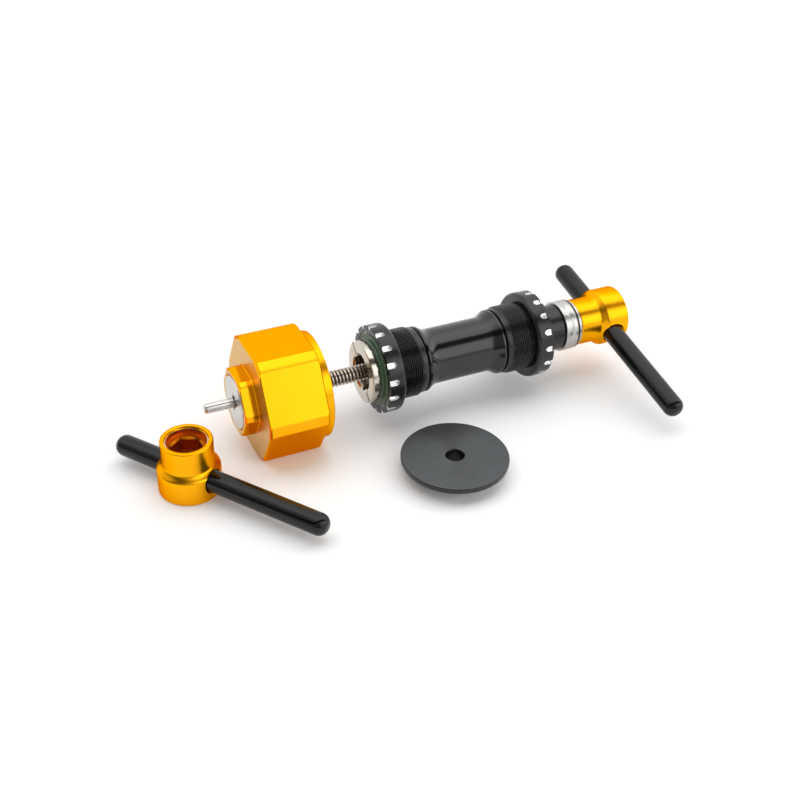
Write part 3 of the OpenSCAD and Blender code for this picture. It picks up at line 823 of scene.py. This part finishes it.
def screw_piece():
    """Turned pin, and the screw's core with its thread wound round it."""
    root = SCREW_R - SCREW_DEPTH + 0.03
    pin_r, neck_r, tip_round = 2.4, 2.1, 1.3
    thread_start = RECEIVER_START + 3.2
    pin = [(SCREW_START, ON_AXIS), (SCREW_START, 1.45)]
    pin += arc(SCREW_START + tip_round, pin_r - tip_round, tip_round, 165, 90, 6)
    pin += [(RECEIVER_START - 0.5, pin_r), (RECEIVER_START - 0.4, neck_r), (thread_start, neck_r),
            (thread_start, root - 0.5), (thread_start + 0.5, root), (SCREW_END, root), (SCREW_END, ON_AXIS)]
    core = new_object("screw_core", revolve(pin, 72, False), along_x(), [PIN_STEEL, DARK_ROOT], 30)
    # The threaded part of the core takes the same darker metal as the groove.
    for polygon in core.data.polygons:
        if polygon.center.x > (thread_start - 0.1) * MM:
            polygon.material_index = 1
    turns = helix_skin(thread_start, SCREW_END, SCREW_R, SCREW_DEPTH, SCREW_PITCH, TRAPEZOID, 48, lead_in=1.2,
                       root=1)
    thread = new_object("screw_thread", turns, along_x(), [SCREW, DARK_ROOT], 24)
    finished(core, "screw", "screw_steel", "draw_screw")
    finished(thread, "screw", "screw_steel")


screw_piece()


def collet_half(node, upper):
    """Half of a flanged collet, cut from the whole by the slot, with a hexagonal pocket."""
    x0, x1 = LEFT_OUT - 5.9, LEFT_OUT - 2.1
    end = LEFT_OUT + 8.4
    flange_r, body_r, bore, half_slot, beyond = 15.5, 11.9, 5.2, 0.85, 20
    matrix = along_x(turn=180 - COLLET_TURN)
    outer = [(x0, ON_AXIS), (x0, flange_r - 0.6)] + arc(x0 + 0.6, flange_r - 0.6, 0.6, 180, 90, 6)
    outer += arc(x1 - 0.4, flange_r - 0.4, 0.4, 90, 0, 4)
    outer += [(x1, body_r + 0.3), (x1 + 0.2, body_r), (end - 0.9, body_r), (end, body_r - 0.8),
              (end, ON_AXIS)]
    piece = new_object(node + "_shell", revolve(outer, 144, False), matrix, [NICKEL])
    low, high = (half_slot, beyond) if upper else (-beyond, -half_slot)
    side = [(-beyond, low), (beyond, low), (beyond, high), (-beyond, high)]
    carve(piece, [(prism(side, x0 - 2, end + 2), matrix)], "INTERSECT")
    mouth = [(x0 - 1, ON_AXIS), (x0 - 1, 10.9), (x0 + 0.9, 9.0), (x0 + 0.9, ON_AXIS)]
    through = [(x0 + 5, ON_AXIS), (x0 + 5, bore), (end + 1, bore), (end + 1, ON_AXIS)]
    carve(piece, [(prism(hexagon(17), x0 - 3, x0 + 10), matrix), (revolve(mouth, 96, False), matrix),
                  (revolve(through, 64, False), matrix)])
    weld(piece, 0.02)
    soften(piece, 0.14, 28, 2)
    finished(piece, node, "nickel", node)


collet_half("collet_upper", True)
collet_half("collet_lower", False)

# ---- Guide, thrust bearing and handles ----


def turned_piece(name, node, body, slot, materials, profile, matrix=None):
    """A closed profile turned about the screw's axis, or about the z of a matrix."""
    piece = new_object(name, revolve(profile, 128), matrix or along_x(), materials, 30)
    finished(piece, body, slot, node)
    return piece


def guide_profile():
    """Round guide that fills the right cup's bearings."""
    start, end = span("right_guide", 0)
    rounded = arc(end - 0.5, GUIDE_R - 0.5, 0.5, 80, 0, 4)
    return [(start, SCREW_BORE_R), (start, GUIDE_R - 0.65), (start + 0.6, GUIDE_R), (end - 0.6, GUIDE_R),
            *rounded, (end, SCREW_BORE_R)]


def thrust_profile():
    """Cup-shaped housing with a fine line turned round its middle."""
    start, end = span("thrust_housing", 0)
    centre, outer, inner, floor, edge = (start + end) / 2, 13.0, 11.7, 2, 0.4
    profile = [(start, SCREW_BORE_R), (start, outer - edge)]
    profile += arc(start + edge, outer - edge, edge, 180, 90, 5)
    profile += [(centre - 0.25, outer), (centre - 0.1, outer - 0.07), (centre + 0.1, outer - 0.07),
                (centre + 0.25, outer)]
    profile += arc(end - edge, outer - edge, edge, 90, 0, 5)
    return profile + [(end, inner), (start + floor, inner), (start + floor, SCREW_BORE_R)]


turned_piece("guide_shell", "right_guide", "bracket", "black_anodised", [BLACK], guide_profile())
turned_piece("thrust_shell", "thrust_housing", "bracket", "turned_steel", [STEEL_X], thrust_profile())


def hub_matrix(mounted):
    """Places a hub made along z, with its bar's bore along x."""
    if mounted:
        return against_x(HUB_END, 270 - BAR_TILT)
    return Matrix.Translation((SPARE_X, SPARE_Y, 0)) @ Matrix.Rotation(math.radians(SPARE_TURN), 4, "Z")


def bore_matrix(mounted):
    """Places what is made along z in a hub's cross bore."""
    lift = Matrix.Translation((0, 0, BAR_FROM_END))
    return hub_matrix(mounted) @ lift @ Matrix.Rotation(math.pi / 2, 4, "Y")


def hub_rows():
    """Rows of the hub's section, from the pocket's floor out and round; the pocket is hexagonal."""
    apothem, pocket_top, recess_z, recess_r, centre_r = POCKET_FLATS / 2, 21.6, 22.4, 9.85, 0.01
    groove_low, groove_high, groove_r = 25.1, 25.9, 10.55
    mouth_round, foot_round = 0.7, 0.9
    angles = [math.radians(-30 + 360 * i / 144) for i in range(144)]
    rows = []

    def hexed(z, a):
        from_flat = [(angle + math.pi / 6) % (math.pi / 3) - math.pi / 6 for angle in angles]
        radii = [a / math.cos(off) for off in from_flat]
        rows.append([(r * math.cos(angle), r * math.sin(angle), z) for r, angle in zip(radii, angles)])

    def circle(z, r):
        rows.append([(r * math.cos(angle), r * math.sin(angle), z) for angle in angles])

    circle(POCKET_FLOOR, centre_r)
    hexed(POCKET_FLOOR, apothem - 0.2)
    hexed(POCKET_FLOOR + 0.2, apothem)
    hexed(pocket_top, apothem)
    outline = [(recess_z, 8.25), (recess_z, recess_r - 0.25), (recess_z + 0.1, recess_r),
               (groove_low - 0.1, recess_r), (groove_low, recess_r), (groove_low, groove_r),
               (groove_high, groove_r), (groove_high, recess_r), (HUB_LEN - 0.3, recess_r),
               (HUB_LEN - 0.05, recess_r + 0.15), (HUB_LEN, recess_r + 0.35), (HUB_LEN, HUB_SMALL_R - 0.8)]
    outline += arc(HUB_LEN - mouth_round, HUB_SMALL_R - mouth_round, mouth_round, 0, 90, 6)
    outline += [(22, HUB_SMALL_R), (19, HUB_SMALL_R), (15.7, HUB_SMALL_R), (15.2, HUB_SMALL_R + 0.04),
                (14.8, HUB_SMALL_R + 0.18), (14.4, HUB_SMALL_R + 0.5), (13.5, HUB_SMALL_R + 1.4),
                (13.0, HUB_BIG_R - 0.65), (12.7, HUB_BIG_R - 0.35), (12.35, HUB_BIG_R - 0.12),
                (11.9, HUB_BIG_R), (8, HUB_BIG_R), (4, HUB_BIG_R)]
    outline += arc(foot_round, HUB_BIG_R - foot_round, foot_round, 90, 180, 8) + [(0, 8), (0, centre_r)]
    for z, r in outline:
        circle(z, r)
    return rows


def hub_piece(name, node, body, mounted, gold_material):
    """Stepped gold hub with its pocket, cut by a cross bore that flares softly where the bar enters."""
    rows = hub_rows()

    # Faces inside the pocket take the darker gold, which is painted shade.
    def in_pocket(j, k):
        low, high = rows[j][0], rows[(j + 1) % len(rows)][0]
        z = (low[2] + high[2]) / 2
        r = max(math.hypot(*low[:2]), math.hypot(*high[:2]))
        return 1 if POCKET_FLOOR - 0.2 < z < 22.5 and r < 9.7 else 0

    skin = grid_mesh(rows, False, in_pocket)
    piece = new_object(name, skin, hub_matrix(mounted), [gold_material, POCKET_SHADE_GOLD], 26)
    bore = BAR_R + 0.06
    half = HUB_BIG_R + 0.4
    flare = [(0, 2.1), (0.35, 1.75), (1.0, 0.9), (1.6, 0.35), (2.1, 0.08), (2.6, 0)]
    entry = [(-half - 1, ON_AXIS), (-half - 1, bore + 3.2)] + [(z - half, bore + wider) for z, wider in flare]
    cutter = entry + [(-z, r) for z, r in reversed(entry)]
    carve(piece, [(revolve(cutter, 96, False), bore_matrix(mounted))])
    piece.data.set_sharp_from_angle(angle=math.radians(26))
    finished(piece, body, "gold_anodised", node)


def bar_piece(name, node, body, mounted):
    """Round bar with softly domed ends, through the hub's cross bore."""
    low, high = BAR_SHIFT - BAR_HALF_LEN, BAR_SHIFT + BAR_HALF_LEN
    dome_len, flat_r = 4.6, 1.0
    angles = [math.radians(10 * i) for i in range(10)]
    dome = [(dome_len * (1 - math.cos(a)), flat_r + (BAR_R - flat_r) * math.sin(a)) for a in angles]
    profile = [(low, ON_AXIS)] + [(low + z, r) for z, r in dome]
    profile += [(low + 20, BAR_R), (0, BAR_R), (high - 20, BAR_R)]
    profile += [(high - z, r) for z, r in reversed(dome)] + [(high, ON_AXIS)]
    piece = new_object(name, revolve(profile, 96, False), bore_matrix(mounted), [BAR_BLACK], 30)
    finished(piece, body, "bar_black", node)


hub_piece("mounted_hub_shell", "handle_hub", "screw", True, GOLD_X)
hub_piece("spare_hub_shell", "spare_hub", "spare_handle", False, GOLD_Z)
bar_piece("mounted_bar_shell", "handle_bar", "handle_bar", True)
bar_piece("spare_bar_shell", "spare_bar", "spare_bar", False)


def disc_piece():
    """Flat disc on a short spigot, with turned lines on its upper face."""
    low, high = span("guide_disc", 0)
    radius, top = (high - low) / 2, span("guide_disc", 2)[1]
    rim, bore, spigot_edge, lower_edge, upper_edge = top - 2.6, 4.35, 0.35, 0.4, 0.45
    profile = [(0, bore + 0.35), (0, GUIDE_R - spigot_edge)]
    profile += arc(spigot_edge, GUIDE_R - spigot_edge, spigot_edge, 180, 90, 4)
    profile += [(rim, GUIDE_R), (rim, radius - lower_edge)]
    profile += arc(rim + lower_edge, radius - lower_edge, lower_edge, 180, 90, 5)
    profile += arc(top - upper_edge, radius - upper_edge, upper_edge, 90, 0, 6)
    profile += [(top, 12), (top, bore + 0.4), (top - 0.15, bore + 0.15), (top - 0.4, bore), (0.4, bore)]
    disc = turned_piece("disc_shell", "guide_disc", "guide_disc", "disc_black", [BLACK, DISC_TOP_SHEEN], profile,
                        Matrix.Translation((DISC_X, DISC_Y, 0)))
    # The top face takes the lighter grey, a painted sheen under light from above; the rim, the underside and
    # the hole stay black.
    for polygon in disc.data.polygons:
        if polygon.normal.z > 0.9 and polygon.center.z > (top - 0.01) * MM:
            polygon.material_index = 1


disc_piece()

# ---- Finishes of the CAD nodes that are shown as they are ----

for names, material in (
    (("sleeve_o_rings", "left_bearing_seals", "right_bearing_seals", "handle_grip_ring", "spare_grip_ring",
      "thrust_seal"), RUBBER),
    (("left_outer_race", "right_outer_race", "left_inner_race", "right_inner_race", "left_bearing_balls",
      "right_bearing_balls", "thrust_balls", "thrust_washer"), BEARING_STEEL),
    (("left_ball_cage", "right_ball_cage"), NYLON),
    (("thrust_cage", "receiver_bush"), BRONZE),
    (("receiver_snap_ring", "collet_nut", "drive_hex"), DARK_STEEL),
    (("handle_snap_ring", "spare_snap_ring"), SPRING_STEEL),
    (("thrust_bush",), STEEL_X),
):
    for name in names:
        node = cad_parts[name]
        node.data.materials.clear()
        node.data.materials.append(material)
        node.data.set_sharp_from_angle(angle=math.radians(30))

# ---- Floor, light and camera ----


def camera_piece():
    """Camera above the left front, with the place, the turn and the lens that fit the known sizes."""
    data = bpy.data.cameras.new("camera")
    data.lens = 51.24
    data.sensor_width = 36
    data.clip_start, data.clip_end = 0.01, 20
    camera = bpy.data.objects.new("camera", data)
    place = (-0.1436, -0.42152, 0.33666)
    right = Vector((0.90455, -0.42552, 0.02686))
    up = Vector((0.22562, 0.53116, 0.81668))
    back = Vector((-0.36178, -0.73267, 0.57647))
    turn = Matrix((right, up, back)).transposed().to_4x4()
    camera.matrix_world = Matrix.Translation(place) @ turn
    bpy.context.scene.collection.objects.link(camera)
    bpy.context.scene.camera = camera


camera_piece()


def floor_piece():
    """Matt white floor that glows a little, so that it stays white behind the set."""
    p = Paint("floor", roughness=0.75, specular_ior_level=0.25, emission_color=(1, 1, 1, 1),
              emission_strength=0.06)
    p.base(p.mix(p.noise(3, 2), (0.94, 0.94, 0.94), (0.96, 0.96, 0.96)))
    bm = bmesh.new()
    bmesh.ops.create_grid(bm, x_segments=1, y_segments=1, size=40000)
    floor = new_object("floor", bm, Matrix(), [p.material])


floor_piece()


def studio():
    """White room with a front softbox, an overhead one, and darker gaps between them that draw the edges."""
    world = bpy.data.worlds.new("studio")
    world.use_nodes = True
    tree = world.node_tree

    def made(kind, inputs, **settings):
        node = tree.nodes.new(kind)
        for key, value in settings.items():
            setattr(node, key, value)
        for key, value in inputs.items():
            if isinstance(value, bpy.types.NodeSocket):
                tree.links.new(value, node.inputs[key])
            else:
                node.inputs[key].default_value = value
        return node

    direction = made("ShaderNodeTexCoord", {}).outputs["Generated"]
    parts = made("ShaderNodeSeparateXYZ", {0: direction}).outputs
    front = made("ShaderNodeMath", {0: parts["Y"], 1: -1}, operation="MULTIPLY").outputs[0]
    angle = made("ShaderNodeMath", {0: parts["Z"], 1: front}, operation="ARCTAN2").outputs[0]
    # Half a turn over the set: 0 is the horizon in front, 0.5 is straight up, 1 is the horizon behind.
    half_turn = made("ShaderNodeMath", {0: angle, 1: math.pi}, operation="DIVIDE").outputs[0]
    ramp = made("ShaderNodeValToRGB", {"Fac": half_turn})
    stops = ((0.0, 0.42), (0.05, 0.42), (0.085, 1.05), (0.27, 1.05), (0.31, 0.05), (0.415, 0.05), (0.44, 1.0),
             (0.61, 1.0), (0.68, 0.75), (0.76, 0.54), (1.0, 0.54))
    while len(ramp.color_ramp.elements) < len(stops):
        ramp.color_ramp.elements.new(0.5)
    for element, (at, value) in zip(ramp.color_ramp.elements, stops):
        element.position = at
        element.color = (value, value, value, 1)
    # The room is dimmer on its left and near side, so that faces turned that way are darker.
    towards = made("ShaderNodeVectorMath", {0: direction, 1: (0.8, 0.6, 0)}, operation="DOT_PRODUCT")
    dimming = {"From Min": -0.66, "From Max": -0.2, "To Min": 0.2, "To Max": 1.0}
    side = made("ShaderNodeMapRange", {"Value": towards.outputs["Value"], **dimming}).outputs["Result"]
    shaded = made("ShaderNodeMix", {}, data_type="RGBA", blend_type="MULTIPLY")
    shaded.inputs["Factor"].default_value = 1.0
    tree.links.new(ramp.outputs["Color"], shaded.inputs["A"])
    tree.links.new(side, shaded.inputs["B"])
    tree.links.new(shaded.outputs["Result"], tree.nodes["Background"].inputs["Color"])
    tree.nodes["Background"].inputs["Strength"].default_value = 2.0
    bpy.context.scene.world = world


studio()
bpy.context.scene.view_settings.view_transform = "Standard"
